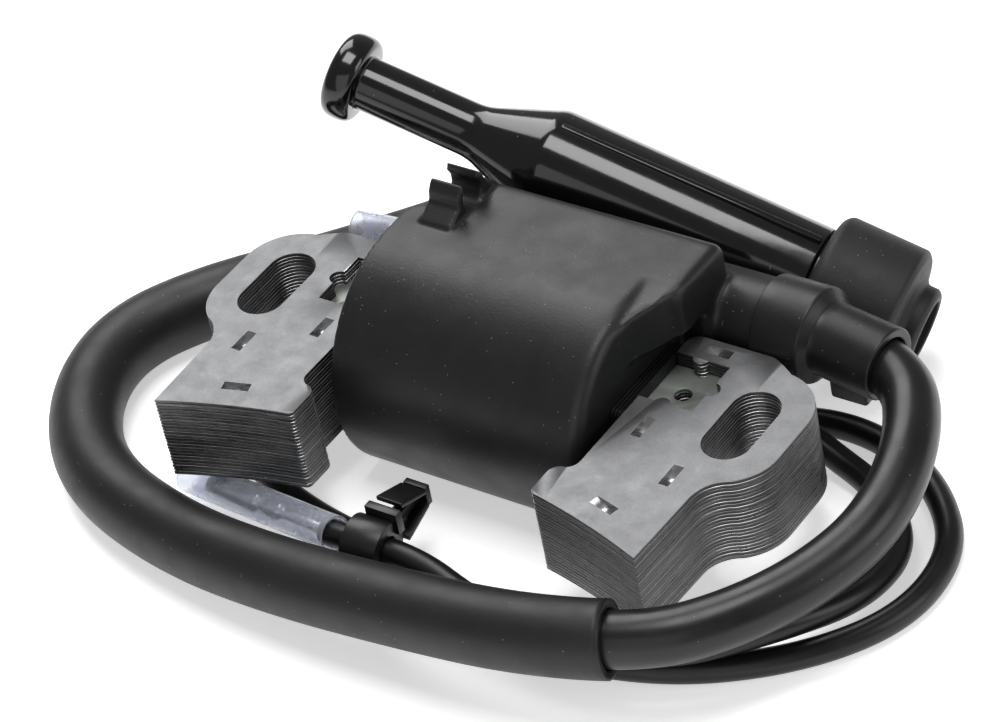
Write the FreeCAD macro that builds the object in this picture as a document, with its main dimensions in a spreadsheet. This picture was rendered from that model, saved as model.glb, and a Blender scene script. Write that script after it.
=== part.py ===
"""Flywheel-magneto ignition coil with its high-tension lead, plug cap and stop wires.

Millimetres. X runs along the coil towards the high-tension tower, the flywheel turns on
the -Y side, and +Z is square to the core's sheets. The origin is midway between the two
slotted mounting holes, on the underside of the core legs.
"""
import FreeCAD, Part
import math
import os

V = FreeCAD.Vector
os.makedirs("parts", exist_ok=True)
doc = FreeCAD.newDocument("ignition_coil")

# ---------------------------------------------------------------- driving dimensions
DIMENSIONS = {
    "floor_level": -8.0,
    "sheet_step": 0.584,
    "leg_stack": 14.0,
    "bar_stack": 11.08,
    "strip_stack": 0.58,
    "slot_centres": 80.0,
    "slot_radius": 3.6,
    "slot_travel": 7.4,
    "boss_radius": 8.3,
    "flywheel_radius": 118.0,
    "flywheel_centre": -139.5,
    "bar_half_length": 32.1,
    "bar_front": -0.2,
    "bar_back": 9.8,
    "knob_radius": 1.35,
    "notch_radius": 1.3,
    "earth_hole_radius": 1.3,
    "stake_long": 4.2,
    "stake_wide": 1.5,
    "stake_depth": 0.35,
    "shell_radius": 19.0,
    "shell_centre_back": 5.3,
    "shell_centre_up": 7.0,
    "shell_top": 26.0,
    "shell_back": 21.7,
    "shell_end": 21.2,
    "shell_wall": 1.8,
    "tower_back": 21.6,
    "tower_up": 13.3,
    "tower_radius": 6.15,
    "tower_reach": 33.4,
    "root_reach": 25.8,
    "collar_radius": 7.1,
    "collar_from": 31.7,
    "collar_to": 40.2,
    "nozzle_radius": 5.5,
    "nozzle_long": 11.2,
    "nozzle_droop": 4.1,
    "nozzle_turn": 5.6,
    "lead_radius": 4.0,
    "sleeve_radius": 5.5,
    "sleeve_bore": 4.3,
    "wire_radius": 2.0,
    "cap_bulb_radius": 6.9,
    "cap_stem_radius": 4.1,
    "cap_body_radius": 8.5,
    "cap_bore_radius": 5.6,
    "boot_radius": 10.85,
    "boot_nozzle_radius": 6.2,
    "boot_hole_radius": 4.5,
    "clip_bore": 2.25,
    "clip_radius": 4.2,
    "clip_wide": 5.6,
}
sheet = doc.addObject("Spreadsheet::Sheet", "Dims")
for row, (alias, value) in enumerate(DIMENSIONS.items(), start=1):
    sheet.set(f"A{row}", alias)
    sheet.set(f"B{row}", str(value))
    sheet.setAlias(f"B{row}", alias)
doc.recompute()


def mm(alias):
    return float(sheet.get(alias))


# ---------------------------------------------------------------- outlines and solids
def rounded(corners):
    """Edges of a closed outline. Each corner is (x, y, radius), and radius 0 is sharp."""
    count = len(corners)
    cuts = []
    for i, (x, y, radius) in enumerate(corners):
        here = V(x, y, 0)
        before = V(*corners[i - 1][:2], 0)
        after = V(*corners[(i + 1) % count][:2], 0)
        to_before = (before - here).normalize()
        to_after = (after - here).normalize()
        half = to_before.getAngle(to_after) / 2
        reach = radius / math.tan(half)
        middle = here
        if radius:
            inward = (to_before + to_after).normalize()
            middle = here + inward * (radius / math.sin(half) - radius)
        cuts.append((here + to_before * reach, middle, here + to_after * reach, radius))
    edges = []
    for i, (start, middle, end, radius) in enumerate(cuts):
        if radius:
            edges.append(Part.Arc(start, middle, end))
        following = cuts[(i + 1) % count][0]
        if end.distanceToPoint(following) > 1e-6:
            edges.append(Part.LineSegment(end, following))
    return edges


def face_of(edges):
    return Part.Face(Part.Wire([edge.toShape() for edge in edges]))


def prism(corners, low, high):
    """A solid of an XY outline between two heights."""
    face = face_of(rounded(corners))
    face.translate(V(0, 0, low))
    return face.extrude(V(0, 0, high - low))


def along_x(corners, start, end):
    """A solid of a YZ outline, given as (y, z, radius), between two places along X."""
    solid = prism(corners, start, end)
    solid.rotate(V(0, 0, 0), V(0, 0, 1), 90)
    solid.rotate(V(0, 0, 0), V(0, 1, 0), 90)
    return solid


def rectangle(left, right, low, high, radius=0.0):
    return [(left, low, radius), (right, low, radius), (right, high, radius), (left, high, radius)]


def rod(start, end, radius):
    start, end = V(*start), V(*end)
    return Part.makeCylinder(radius, start.distanceToPoint(end), start, end - start)


def turned(profile, start, direction):
    """A solid of revolution. The profile is (along, radius) and closes on its own axis."""
    points = [V(along, radius, 0) for along, radius in profile]
    outline = Part.makePolygon(points + [points[0]])
    solid = Part.Face(outline).revolve(V(0, 0, 0), V(1, 0, 0), 360)
    turn = FreeCAD.Rotation(V(1, 0, 0), V(*direction))
    solid.Placement = FreeCAD.Placement(V(*start), turn)
    return solid


def route(points):
    """Straight runs joined by tangent arcs, each as large as its two runs allow.

    Returns the edges in order, run then arc, and the smallest arc radius.
    """
    points = [V(*p) for p in points]
    ends = [(points[0], points[0], points[0])]
    smallest = math.inf
    for before, here, after in zip(points, points[1:], points[2:]):
        back, ahead = before - here, after - here
        shorter = min(back.Length, ahead.Length)
        back.normalize()
        ahead.normalize()
        half_turn = (math.pi - back.getAngle(ahead)) / 2
        radius = 0.45 * shorter / math.tan(half_turn)
        smallest = min(smallest, radius)
        inward = (back + ahead).normalize()
        middle = here + inward * (radius / math.cos(half_turn) - radius)
        ends.append((here + back * 0.45 * shorter, middle, here + ahead * 0.45 * shorter))
    ends.append((points[-1], points[-1], points[-1]))
    edges = []
    for (_, _, leave), (enter, middle, out) in zip(ends, ends[1:]):
        edges.append(Part.LineSegment(leave, enter).toShape())
        if out.distanceToPoint(enter) > 1e-6:
            edges.append(Part.Arc(enter, middle, out).toShape())
    return edges, smallest


def tube(name, points, radius, bore=0.0, span=slice(None)):
    """A round tube along a route, or along a span of its edges, checked for its volume."""
    edges, smallest = route(points)
    path = Part.Wire(edges[span])
    first = path.OrderedEdges[0]
    start, ahead = first.valueAt(first.FirstParameter), first.tangentAt(first.FirstParameter)

    def swept(size):
        ring = Part.Wire(Part.makeCircle(size, start, ahead))
        return path.makePipeShell([ring], True, False)

    solid = swept(radius)
    area = math.pi * radius ** 2
    if bore:
        solid = solid.cut(swept(bore))
        area -= math.pi * bore ** 2
    length = path.Length
    print(f"{name}: {length:.1f} mm long, smallest bend {smallest:.1f} mm, "
          f"volume {solid.Volume / (area * length):.4f} of section times length")
    return solid


nodes = {}


def keep(name, shape):
    """One sub-part whose shape comes from Part's own functions."""
    piece = doc.addObject("Part::Feature", name)
    piece.Label = name
    piece.Shape = shape
    nodes[name] = piece
    return shape


def plane_of(body, role):
    for feature in body.Origin.OriginFeatures:
        if feature.Role == role:
            return feature
    raise ValueError(role)


def sketch_on(body, name, role, edges, offset=0.0):
    sketch = body.newObject("Sketcher::SketchObject", name)
    sketch.AttachmentSupport = [(plane_of(body, role), "")]
    sketch.MapMode = "FlatFace"
    sketch.AttachmentOffset = FreeCAD.Placement(V(0, 0, offset), FreeCAD.Rotation())
    for edge in edges:
        sketch.addGeometry(edge, False)
    return sketch


def sheet_stack(name, edges, stack, low=0.0, holes=(), marks=()):
    """A PartDesign body of stacked sheets: an outline padded up, its holes and stakes."""
    body = doc.addObject("PartDesign::Body", name)
    body.Label = name
    outline = sketch_on(body, name + "_outline", "XY_Plane", edges, low)
    pad = body.newObject("PartDesign::Pad", name + "_pad")
    pad.Profile = outline
    pad.setExpression("Length", f"Dims.{stack}")
    doc.recompute()
    for kind, group, depth in (("holes", holes, None), ("stakes", marks, "stake_depth")):
        if not group:
            continue
        top = low + mm(stack)
        drawn = sketch_on(body, f"{name}_{kind}", "XY_Plane", [e for g in group for e in g], top)
        pocket = body.newObject("PartDesign::Pocket", f"{name}_{kind}_cut")
        pocket.Profile = drawn
        if depth:
            pocket.setExpression("Length", f"Dims.{depth}")
        else:
            pocket.Type = "ThroughAll"
        before = pad.Shape.Volume if kind == "holes" else body.Shape.Volume
        doc.recompute()
        if not body.Shape.Volume < before:
            raise RuntimeError(f"{name}: {kind} cut nothing")
    nodes[name] = body
    return body.Shape


def long_hole(x, y, length, radius, angle=90.0):
    """The outline of a slot with round ends, centred on (x, y)."""
    half = length / 2 - radius
    turn = FreeCAD.Rotation(V(0, 0, 1), angle)
    ends = [(half, -radius), (half + radius, 0), (half, radius)]
    starts = [(-half, radius), (-half - radius, 0), (-half, -radius)]
    right, left = ([V(x, y, 0) + turn.multVec(V(*p, 0)) for p in side] for side in (ends, starts))
    return [Part.Arc(*right), Part.LineSegment(right[2], left[0]),
            Part.Arc(*left), Part.LineSegment(left[2], right[0])]


# ---------------------------------------------------------------- laminated core
BAR_MIDDLE = (mm("bar_front") + mm("bar_back")) / 2
NOTCH_AT = 27.3
NECK_INNER = 23.4


def bar_end(side):
    """The keyed end of the bar: a notch in each long side and a round knob on the tip.

    Returns the edges from the back long side round to the front one, for side +1.
    """
    tip, front, back = mm("bar_half_length"), mm("bar_front"), mm("bar_back")
    notch, knob = mm("notch_radius"), mm("knob_radius")
    deep = 1.0
    half = math.sqrt(notch ** 2 - (notch - deep) ** 2)
    points = [
        ("line", (NOTCH_AT - half, back)),
        ("arc", (NOTCH_AT, back - deep), (NOTCH_AT + half, back)),
        ("line", (tip, back)),
        ("line", (tip, BAR_MIDDLE + knob)),
        ("arc", (tip + knob, BAR_MIDDLE), (tip, BAR_MIDDLE - knob)),
        ("line", (tip, front)),
        ("line", (NOTCH_AT + half, front)),
        ("arc", (NOTCH_AT, front + deep), (NOTCH_AT - half, front)),
    ]
    return [(kind, *[(side * x, y) for x, y in rest]) for kind, *rest in points]


def edges_through(start, steps):
    edges, here = [], V(*start, 0)
    for kind, *rest in steps:
        points = [V(*p, 0) for p in rest]
        if kind == "line":
            edges.append(Part.LineSegment(here, points[0]))
        else:
            edges.append(Part.Arc(here, *points))
        here = points[-1]
    return edges


def turned_back(start, steps):
    """The same steps walked the other way, and where they then start."""
    places = [start] + [step[-1] for step in steps]
    back = []
    for i in range(len(steps) - 1, -1, -1):
        kind, *rest = steps[i]
        back.append((kind, *rest[:-1], places[i]))
    return places[-1], back


def leg_outline(side):
    """A leg's outline: curved pole face, bulge round its slot, hooked cut-out for the bar."""
    wheel, wheel_y = mm("flywheel_radius"), mm("flywheel_centre")
    boss, slot_x, lobe = mm("boss_radius"), mm("slot_centres") / 2, mm("slot_travel") / 2
    inner_pole, outer_pole, side_x = 20.4, 40.8, 41.3

    def on_wheel(x):
        return x, wheel_y + math.sqrt(wheel ** 2 - x ** 2)

    def on_boss(centre_y, degrees):
        angle = math.radians(degrees)
        return slot_x + boss * math.cos(angle), centre_y + boss * math.sin(angle)

    start = (NECK_INNER, mm("bar_front"))
    steps = [
        ("line", (NECK_INNER, -15.2)),
        ("arc", (NECK_INNER - 0.35, -16.3), (NECK_INNER - 1.2, -17.0)),
        ("arc", (NECK_INNER - 2.6, -17.6), (20.3, -18.8)),
        ("line", (inner_pole - 0.1, on_wheel(inner_pole)[1] + 0.8)),
        ("arc", (inner_pole + 0.1, on_wheel(inner_pole)[1] + 0.2), on_wheel(inner_pole + 0.7)),
        ("arc", on_wheel(30.6), on_wheel(outer_pole)),
        ("line", (side_x, -15.8)),
        ("arc", (side_x + 0.75, -12.9), on_boss(-lobe, -55)),
        ("arc", on_boss(-lobe, -25), on_boss(-lobe, 0)),
        ("line", on_boss(lobe, 0)),
        ("arc", on_boss(lobe, 40), on_boss(lobe, 84)),
        ("arc", (39.4, 12.9), (37.9, 13.7)),
        ("arc", (36.9, 14.1), (36.0, 14.2)),
        ("line", (25.2, 14.2)),
        ("arc", (NECK_INNER + 0.5, 13.7), (NECK_INNER - 0.1, 12.4)),
        ("line", (NECK_INNER - 0.1, mm("bar_back"))),
    ]
    steps += bar_end(1) + [("line", start)]
    mirrored = [(kind, *[(side * x, y) for x, y in rest]) for kind, *rest in steps]
    return edges_through((side * start[0], start[1]), mirrored)


def stakes(side):
    long, wide = mm("stake_long"), mm("stake_wide") / 2
    places = [(27.6, -5.7, 90), (36.6, -12.7, 90), (31.4, -21.5, -15), (28.9, 12.1, 0)]
    return [long_hole(side * x, y, long, wide, side * a if a != 90 else a) for x, y, a in places]


for side, name in ((-1, "left_core_leg"), (1, "right_core_leg")):
    slot_long = mm("slot_travel") + 2 * mm("slot_radius")
    slot = long_hole(side * mm("slot_centres") / 2, 0, slot_long, mm("slot_radius"))
    sheet_stack(name, leg_outline(side), "leg_stack", 0.0, [slot], stakes(side))


def bar_outline():
    right = bar_end(1)
    back_at = (bar_end(-1)[0][-1][0], mm("bar_back"))
    left_from, left = turned_back(back_at, bar_end(-1)[1:])
    return edges_through(back_at, right + [("line", left_from)] + left)


earth_hole = [Part.Circle(V(NOTCH_AT + 0.1, BAR_MIDDLE - 0.3, 0), V(0, 0, 1), mm("earth_hole_radius"))]
bar_shape = sheet_stack("core_bar", bar_outline(), "bar_stack", 0.0, [earth_hole])
strip_shape = sheet_stack("earth_strip", bar_outline(), "strip_stack", mm("bar_stack"), [earth_hole])
CORE_TOP = mm("bar_stack") + mm("strip_stack")

# ---------------------------------------------------------------- housing
WALL, END = mm("shell_wall"), mm("shell_end")
SHELL_Y, SHELL_Z = mm("shell_centre_back"), mm("shell_centre_up")
FLOOR = mm("floor_level")


def shell_section(inset):
    """The housing's YZ section: a round front, and a flat top, back and underside."""
    radius = mm("shell_radius") - inset
    top, back, low = mm("shell_top") - inset, mm("shell_back") - inset, FLOOR + inset
    drop = SHELL_Z - low
    front_y = SHELL_Y - math.sqrt(radius ** 2 - drop ** 2)
    corner = 2.2 - inset * 0.6
    steps = [
        ("arc", (SHELL_Y - radius, SHELL_Z), (front_y, low)),
        ("line", (back - corner, low)),
        ("arc", (back - corner * 0.29, low + corner * 0.29), (back, low + corner)),
        ("line", (back, top - corner)),
        ("arc", (back - corner * 0.29, top - corner * 0.29), (back - corner, top)),
        ("line", (SHELL_Y, top)),
    ]
    return edges_through((SHELL_Y, top), steps)


def section_solid(inset, start, end):
    face = face_of(shell_section(inset))
    solid = face.extrude(V(0, 0, end - start))
    solid.translate(V(0, 0, start))
    solid.rotate(V(0, 0, 0), V(0, 0, 1), 90)
    solid.rotate(V(0, 0, 0), V(0, 1, 0), 90)
    return solid


def edges_at(shape, axis, value, tolerance=1e-4):
    """The edges that lie wholly in one plane square to an axis (0, 1 or 2)."""
    found = []
    for edge in shape.Edges:
        box = edge.BoundBox
        low, high = [(box.XMin, box.XMax), (box.YMin, box.YMax), (box.ZMin, box.ZMax)][axis]
        if abs(low - value) < tolerance and abs(high - value) < tolerance:
            found.append(edge)
    return found


TOWER = (mm("tower_back"), mm("tower_up"))
TANK_FROM, FRONT_BACK = -17.5, 12.4


def plan(left, back, step):
    """Everything above the housing's plan: the tank behind the coil starts further right."""
    corner = 2.6
    return prism([(left, -40, 0), (60, -40, 0), (60, 60, 0), (step, 60, 0),
                  (step, back, 0), (left, back, corner)], -30, 60)


outer = section_solid(0.0, -END, END)
outer = outer.makeFillet(2.0, edges_at(outer, 0, END))
outer = outer.common(plan(-END - 1e-3, FRONT_BACK, TANK_FROM))
# The block that carries the tower clears the leg below it and in front of it
root = along_x([(8.8, 17.6, 0.8), (14.7, 17.6, 0.8), (14.7, 6.6, 0.8), (mm("shell_back"), 6.6, 0.8),
                (mm("shell_back"), mm("shell_top"), 2.2), (8.8, mm("shell_top"), 2.2)],
               12.0, mm("root_reach"))
root = root.makeFillet(1.2, edges_at(root, 0, mm("root_reach")))
STUB_FROM = 15.0
stub = rod((STUB_FROM, *TOWER), (mm("tower_reach"), *TOWER), mm("tower_radius"))
stub = stub.makeChamfer(0.5, edges_at(stub, 0, mm("tower_reach")))
stub = stub.makeFillet(2.0, edges_at(stub, 0, STUB_FROM))
housing = outer.fuse(root).fuse(stub).removeSplitter()

BOBBIN_WALL = 1.0
CLEAR = 0.1
hole_y = (mm("bar_front") - CLEAR, mm("bar_back") + CLEAR)
hole_z = (-CLEAR, CORE_TOP + CLEAR)


def around_bar(grow, start, end, radius=0.0):
    """A block round the bar's passage, grown by an amount on all four sides."""
    sides = rectangle(hole_y[0] - grow, hole_y[1] + grow, hole_z[0] - grow, hole_z[1] + grow, radius)
    return along_x(sides, start, end)


RIGHT_WALL = 2.0
CAVITY_END = END - RIGHT_WALL
cavity = section_solid(WALL, -END - 1, CAVITY_END)
cavity = cavity.common(plan(-END - 2, FRONT_BACK - WALL + 0.6, TANK_FROM + WALL))
tower_bore = rod((27.0, *TOWER), (mm("tower_reach") + 1, *TOWER), mm("lead_radius") + 0.15)
bobbin_gap = around_bar(BOBBIN_WALL, CAVITY_END - 1, END + 1, 0.6)

# Wire outlets low in the end wall, behind the right leg: outer wire, then inner wire
OUTLETS = [(17.6, -3.8), (17.6, 3.2)]
outlet_radius = 3.0
housing = housing.cut(cavity).cut(tower_bore).cut(bobbin_gap)

# High-tension contact: a wood-screw spike on the tower's axis, fed through the back wall by a lug
LUG_FROM, LUG_THICK, SPIKE_RADIUS = 17.6, 1.2, 1.45
lug = Part.makeBox(LUG_THICK, 6.2, 4.4, V(LUG_FROM, 17.2, TOWER[1] - 2.2))
spike = turned([(0, 0), (0, SPIKE_RADIUS), (10.6, SPIKE_RADIUS), (12.4, 1.1), (15.0, 0.0)],
               (LUG_FROM, *TOWER), (1, 0, 0))
lug = lug.cut(spike)
housing = housing.cut(lug).cut(spike)
for y, z in OUTLETS:
    housing = housing.cut(rod((CAVITY_END - 1, y, z), (END + 1, y, z), outlet_radius))

# Cable hook on top of the left end: an open channel between two curled lips
HOOK_Y, HOOK_Z, HOOK_BORE, HOOK_WALL = 14.6, 28.1, 2.2, 1.2
HOOK_LONG = 5.6
hook_from, hook_to = TANK_FROM, TANK_FROM + HOOK_LONG
hook = rod((hook_from, HOOK_Y, HOOK_Z), (hook_to, HOOK_Y, HOOK_Z), HOOK_BORE + HOOK_WALL)
base = along_x([(8.2, 25.0, 0), (20.4, 25.0, 0), (20.4, 26.4, 0.3), (17.6, 28.4, 0.6),
                (11.8, 28.4, 0.6), (8.2, 26.4, 0.3)], hook_from, hook_to)
hook = hook.fuse(base)
hook = hook.cut(rod((hook_from - 1, HOOK_Y, HOOK_Z), (hook_to + 1, HOOK_Y, HOOK_Z), HOOK_BORE))
mouth = along_x([(13.6, 28.6, 0), (15.8, 28.6, 0), (17.6, 34.0, 0), (11.8, 34.0, 0)],
                hook_from - 1, hook_to + 1)
hook = hook.cut(mouth).cut(section_solid(0.9, hook_from - 1, hook_to + 1))
housing = housing.fuse(hook).removeSplitter()
keep("coil_housing", housing)

# ---------------------------------------------------------------- coil inside the housing
FLANGE_OUT = NECK_INNER - 0.25
tube_part = around_bar(BOBBIN_WALL, -FLANGE_OUT, FLANGE_OUT, 0.6)
flange_y, flange_z = (-4.6, 12.0), (-4.0, 13.8)
bobbin = tube_part
for side in (-1, 1):
    near, far = sorted((side * (END + 0.15), side * FLANGE_OUT))
    flange = along_x(rectangle(*flange_y, *flange_z, 1.0), near, far)
    for groove in range(3):
        at = near + 0.42 + 0.5 * groove
        ring = along_x(rectangle(flange_y[0] - 1, flange_y[1] + 1, flange_z[0] - 1, flange_z[1] + 1),
                       at, at + 0.2)
        core = along_x(rectangle(flange_y[0] + 0.3, flange_y[1] - 0.3, flange_z[0] + 0.3,
                                 flange_z[1] - 0.3, 0.8), at, at + 0.2)
        flange = flange.cut(ring.cut(core))
    bobbin = bobbin.fuse(flange)
bobbin = bobbin.cut(around_bar(0.0, -FLANGE_OUT - 1, FLANGE_OUT + 1))
keep("primary_bobbin", bobbin.removeSplitter())

PRIMARY = (BOBBIN_WALL, BOBBIN_WALL + 1.9)
COIL_FROM, COIL_TO = -15.0, 17.0
primary = around_bar(PRIMARY[1], COIL_FROM, COIL_TO, 1.6)
primary = primary.cut(around_bar(PRIMARY[0], COIL_FROM - 1, COIL_TO + 1, 0.5))
keep("primary_winding", primary)

SECOND_WALL = 0.8
FINS = 8
second_inner = PRIMARY[1]
second_outer = second_inner + SECOND_WALL
fin_top = second_outer + 1.2
former = around_bar(second_outer, COIL_FROM, COIL_TO, 2.0)
fin_step = (COIL_TO - COIL_FROM - 0.8) / (FINS - 1)
fin_places = [COIL_FROM + i * fin_step for i in range(FINS)]
for at in fin_places:
    former = former.fuse(around_bar(fin_top, at, at + 0.8, 2.6))
former = former.cut(around_bar(second_inner, COIL_FROM - 1, COIL_TO + 1, 1.6))
keep("secondary_bobbin", former.removeSplitter())

coils = []
for at, after in zip(fin_places, fin_places[1:]):
    turn = around_bar(fin_top - 0.25, at + 0.8, after, 2.4)
    coils.append(turn.cut(around_bar(second_outer, at, after + 1, 2.0)))
keep("secondary_winding", Part.makeCompound(coils))

# Ignition module on its board, over the coil
BOARD = dict(left=-14.6, right=11.0, front=-1.0, back=17.6, low=18.6, high=20.0)
board = Part.makeBox(BOARD["right"] - BOARD["left"], BOARD["back"] - BOARD["front"],
                     BOARD["high"] - BOARD["low"], V(BOARD["left"], BOARD["front"], BOARD["low"]))
keep("circuit_board", board)
keep("switch_transistor", Part.makeBox(9.0, 6.6, 2.6, V(-12.6, 3.0, BOARD["high"])))
keep("control_chip", Part.makeBox(5.0, 4.0, 1.6, V(-3.0, 3.4, BOARD["high"])))
keep("trigger_resistor", rod((-1.4, 10.6, 21.2), (5.0, 10.6, 21.2), 1.2))
keep("bias_resistor", rod((-1.4, 14.4, 21.2), (5.0, 14.4, 21.2), 1.2))
keep("clamp_diode", rod((-11.6, 13.4, 21.3), (-6.6, 13.4, 21.3), 1.3))

keep("secondary_lug", lug)
keep("tower_spike", spike)

inside = [nodes[n].Shape for n in (
    "primary_bobbin", "primary_winding", "secondary_bobbin", "secondary_winding", "circuit_board",
    "switch_transistor", "control_chip", "trigger_resistor", "bias_resistor", "clamp_diode",
    "secondary_lug", "tower_spike")]
RESIN_FACE = -END + 0.8
resin = cavity.common(along_x(rectangle(-40, 40, -40, 60), RESIN_FACE, CAVITY_END))
resin = resin.cut(around_bar(0.0, -END - 2, END + 2))
for shape in inside:
    resin = resin.cut(shape)
biggest = max(resin.Solids, key=lambda solid: solid.Volume)
keep("potting_resin", biggest)

# ---------------------------------------------------------------- tower boot
droop, sideways = math.radians(mm("nozzle_droop")), math.radians(mm("nozzle_turn"))
nozzle_way = (math.cos(droop) * math.cos(sideways), -math.sin(sideways), -math.sin(droop))
collar_end = (mm("collar_to"), *TOWER)
collar_rise = 2.0
collar = turned([(0, 0), (0, mm("collar_radius") - 0.4), (0.5, mm("collar_radius")),
                 (mm("collar_to") - mm("collar_from") - collar_rise, mm("collar_radius")),
                 (mm("collar_to") - mm("collar_from"), mm("collar_radius") - 1.5),
                 (mm("collar_to") - mm("collar_from") + 0.6, 0)],
                (mm("collar_from"), *TOWER), (1, 0, 0))
nozzle_start = tuple(c - 2.0 * w for c, w in zip(collar_end, nozzle_way))
nozzle = turned([(0, 0), (0, mm("nozzle_radius")), (mm("nozzle_long") + 2.0, mm("nozzle_radius")),
                 (mm("nozzle_long") + 2.0, 0)], nozzle_start, nozzle_way)
boot = collar.fuse(nozzle)
boot = boot.cut(rod((mm("collar_from") - 1, *TOWER), (mm("tower_reach") + 0.05, *TOWER),
                    mm("tower_radius")))
tab = Part.makeBox(6.0, 3.0, 4.6, V(mm("collar_to") + 1.2, TOWER[0] - 2.2, TOWER[1] - 9.2))
boot = boot.fuse(tab)

# ---------------------------------------------------------------- high-tension lead
# Route by hand: out of the tower, down beside the right leg, round the front over the
# two thin wires, round the left leg and back behind the housing to the plug cap.
CAP_START = V(-43.45, 28.28, 31.35)
CAP_WAY = V(0.9362, 0.1329, -0.3253).normalize()


def on_cap(along):
    return CAP_START + CAP_WAY * along


BRANCH_AT = 44.0
BRANCH_WAY = V(-0.74, 0.50, -0.45).normalize()
branch_root = on_cap(BRANCH_AT)
branch_tip = branch_root + BRANCH_WAY * 19.5
lead_end = branch_root + BRANCH_WAY * 6.6
LEAD_ROUTE = [
    (mm("tower_reach") + 0.1, *TOWER),
    (40.2, *TOWER),
    (54.6, 20.1, 12.1),
    (61.4, 9.4, 11.0),
    (63.6, -3.8, 8.6),
    (60.4, -15.4, 6.9),
    (54.2, -26.4, 6.3),
    (45.6, -35.0, 5.9),
    (28.4, -39.8, 4.8),
    (9.0, -40.8, 2.7),
    (-13.0, -40.6, 0.3),
    (-34.4, -38.2, -1.9),
    (-54.2, -32.2, -2.5),
    (-66.2, -19.8, -2.5),
    (-69.8, -5.0, -2.5),
    (-63.0, 8.2, -2.5),
    (-51.0, 20.4, -2.5),
    (-39.8, 33.0, -2.3),
    (-29.6, 43.2, -0.6),
    tuple(branch_tip),
    tuple(lead_end),
]
keep("ht_lead", tube("ht_lead", LEAD_ROUTE, mm("lead_radius")))
# The sleeve covers the lead from the end of its seventh bend to the start of its eighteenth
SLEEVE_SPAN = slice(2 * 7, 2 * 17 + 1)
sleeve = tube("lead_sleeve", LEAD_ROUTE, mm("sleeve_radius"), mm("sleeve_bore"), SLEEVE_SPAN)
keep("lead_sleeve", sleeve)
keep("tower_boot", boot.cut(nodes["ht_lead"].Shape).removeSplitter())

# ---------------------------------------------------------------- plug cap
START, WAY = tuple(CAP_START), tuple(CAP_WAY)
bulb, stem, wide = mm("cap_bulb_radius"), mm("cap_stem_radius"), mm("cap_body_radius")
BODY_END = 87.2
BARREL_FROM = 48.0
cap = turned([(-2.6, 0), (-2.6, bulb - 2.4), (-2.0, bulb - 0.9), (-0.8, bulb), (0.8, bulb),
              (2.0, bulb - 0.9), (2.9, stem), (22.0, stem), (25.0, stem + 0.5), (33.7, wide),
              (BARREL_FROM, wide - 0.13), (BARREL_FROM, 0)], START, WAY)
socket_outer = rod(tuple(branch_root), tuple(branch_root + BRANCH_WAY * 13.5), 6.3)
link = rod(tuple(on_cap(37.0)), tuple(on_cap(BARREL_FROM + 1)), 1.6)
lead_hole = rod(tuple(lead_end), tuple(branch_root + BRANCH_WAY * 15), mm("lead_radius") + 0.15)
screw_hole = rod(tuple(branch_root), tuple(lead_end + BRANCH_WAY * 0.1), 1.1)
cap_bore = mm("cap_bore_radius")
room = rod(tuple(on_cap(BARREL_FROM)), tuple(on_cap(BARREL_FROM + 8)), cap_bore)
cap = cap.fuse(socket_outer).cut(link).cut(lead_hole).cut(screw_hole).cut(room)
keep("cap_body", cap.removeSplitter())
# The barrel is the tube round the plug's terminal, and a low parting rib runs along the top
barrel = turned([(BARREL_FROM, cap_bore), (BARREL_FROM, wide - 0.13), (76.0, wide - 0.4),
                 (76.2, wide - 0.9), (BODY_END, wide - 0.9), (BODY_END, cap_bore)], START, WAY)
barrel = barrel.cut(nodes["cap_body"].Shape)
keep("cap_barrel", barrel)
rib = Part.makeBox(44.0, 1.0, 0.9, V(31.0, -0.5, wide - 0.55))
rib.Placement = FreeCAD.Placement(CAP_START, FreeCAD.Rotation(V(1, 0, 0), CAP_WAY)).multiply(rib.Placement)
rib = rib.cut(cap).cut(barrel)
keep("cap_rib", max(rib.Solids, key=lambda solid: solid.Volume))

seal = turned([(0, 0), (0, 7.8), (7.6, 7.8), (10.4, 6.2), (14.2, 6.2), (14.2, 0)],
              tuple(branch_root + BRANCH_WAY * 9.4), tuple(BRANCH_WAY))
seal = seal.cut(nodes["cap_body"].Shape).cut(nodes["cap_barrel"].Shape).cut(nodes["ht_lead"].Shape)
keep("cap_lead_boot", max(seal.Solids, key=lambda solid: solid.Volume))

keep("cap_lead_screw", turned([(0, 0), (0, 1.05), (5.6, 1.05), (6.6, 0)],
                              tuple(branch_root), tuple(BRANCH_WAY)))
keep("cap_link_pin", turned([(0, 0), (0, 1.5), (11.4, 1.5), (11.4, 0)], tuple(on_cap(37.5)), WAY)
     .cut(nodes["cap_lead_screw"].Shape))
keep("cap_resistor", rod(tuple(on_cap(49.0)), tuple(on_cap(63.0)), 3.0))
spring_turns = []
for turn in range(4):
    ring = Part.makeTorus(2.4, 0.45)
    ring.Placement = FreeCAD.Placement(on_cap(63.5 + 1.0 * turn), FreeCAD.Rotation(V(0, 0, 1), CAP_WAY))
    spring_turns.append(ring)
keep("cap_spring", Part.makeCompound(spring_turns))
clip = turned([(0, 0), (0, 4.4), (14.0, 4.4), (15.0, 4.0), (15.0, 0)], tuple(on_cap(67.2)), WAY)
clip = clip.cut(rod(tuple(on_cap(69.2)), tuple(on_cap(83.0)), 3.3))
keep("plug_terminal_clip", clip)

liner = turned([(0, 4.45), (0, 5.55), (18.0, 5.55), (18.0, 4.45)], tuple(on_cap(66.8)), WAY)
keep("cap_liner", liner)

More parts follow.
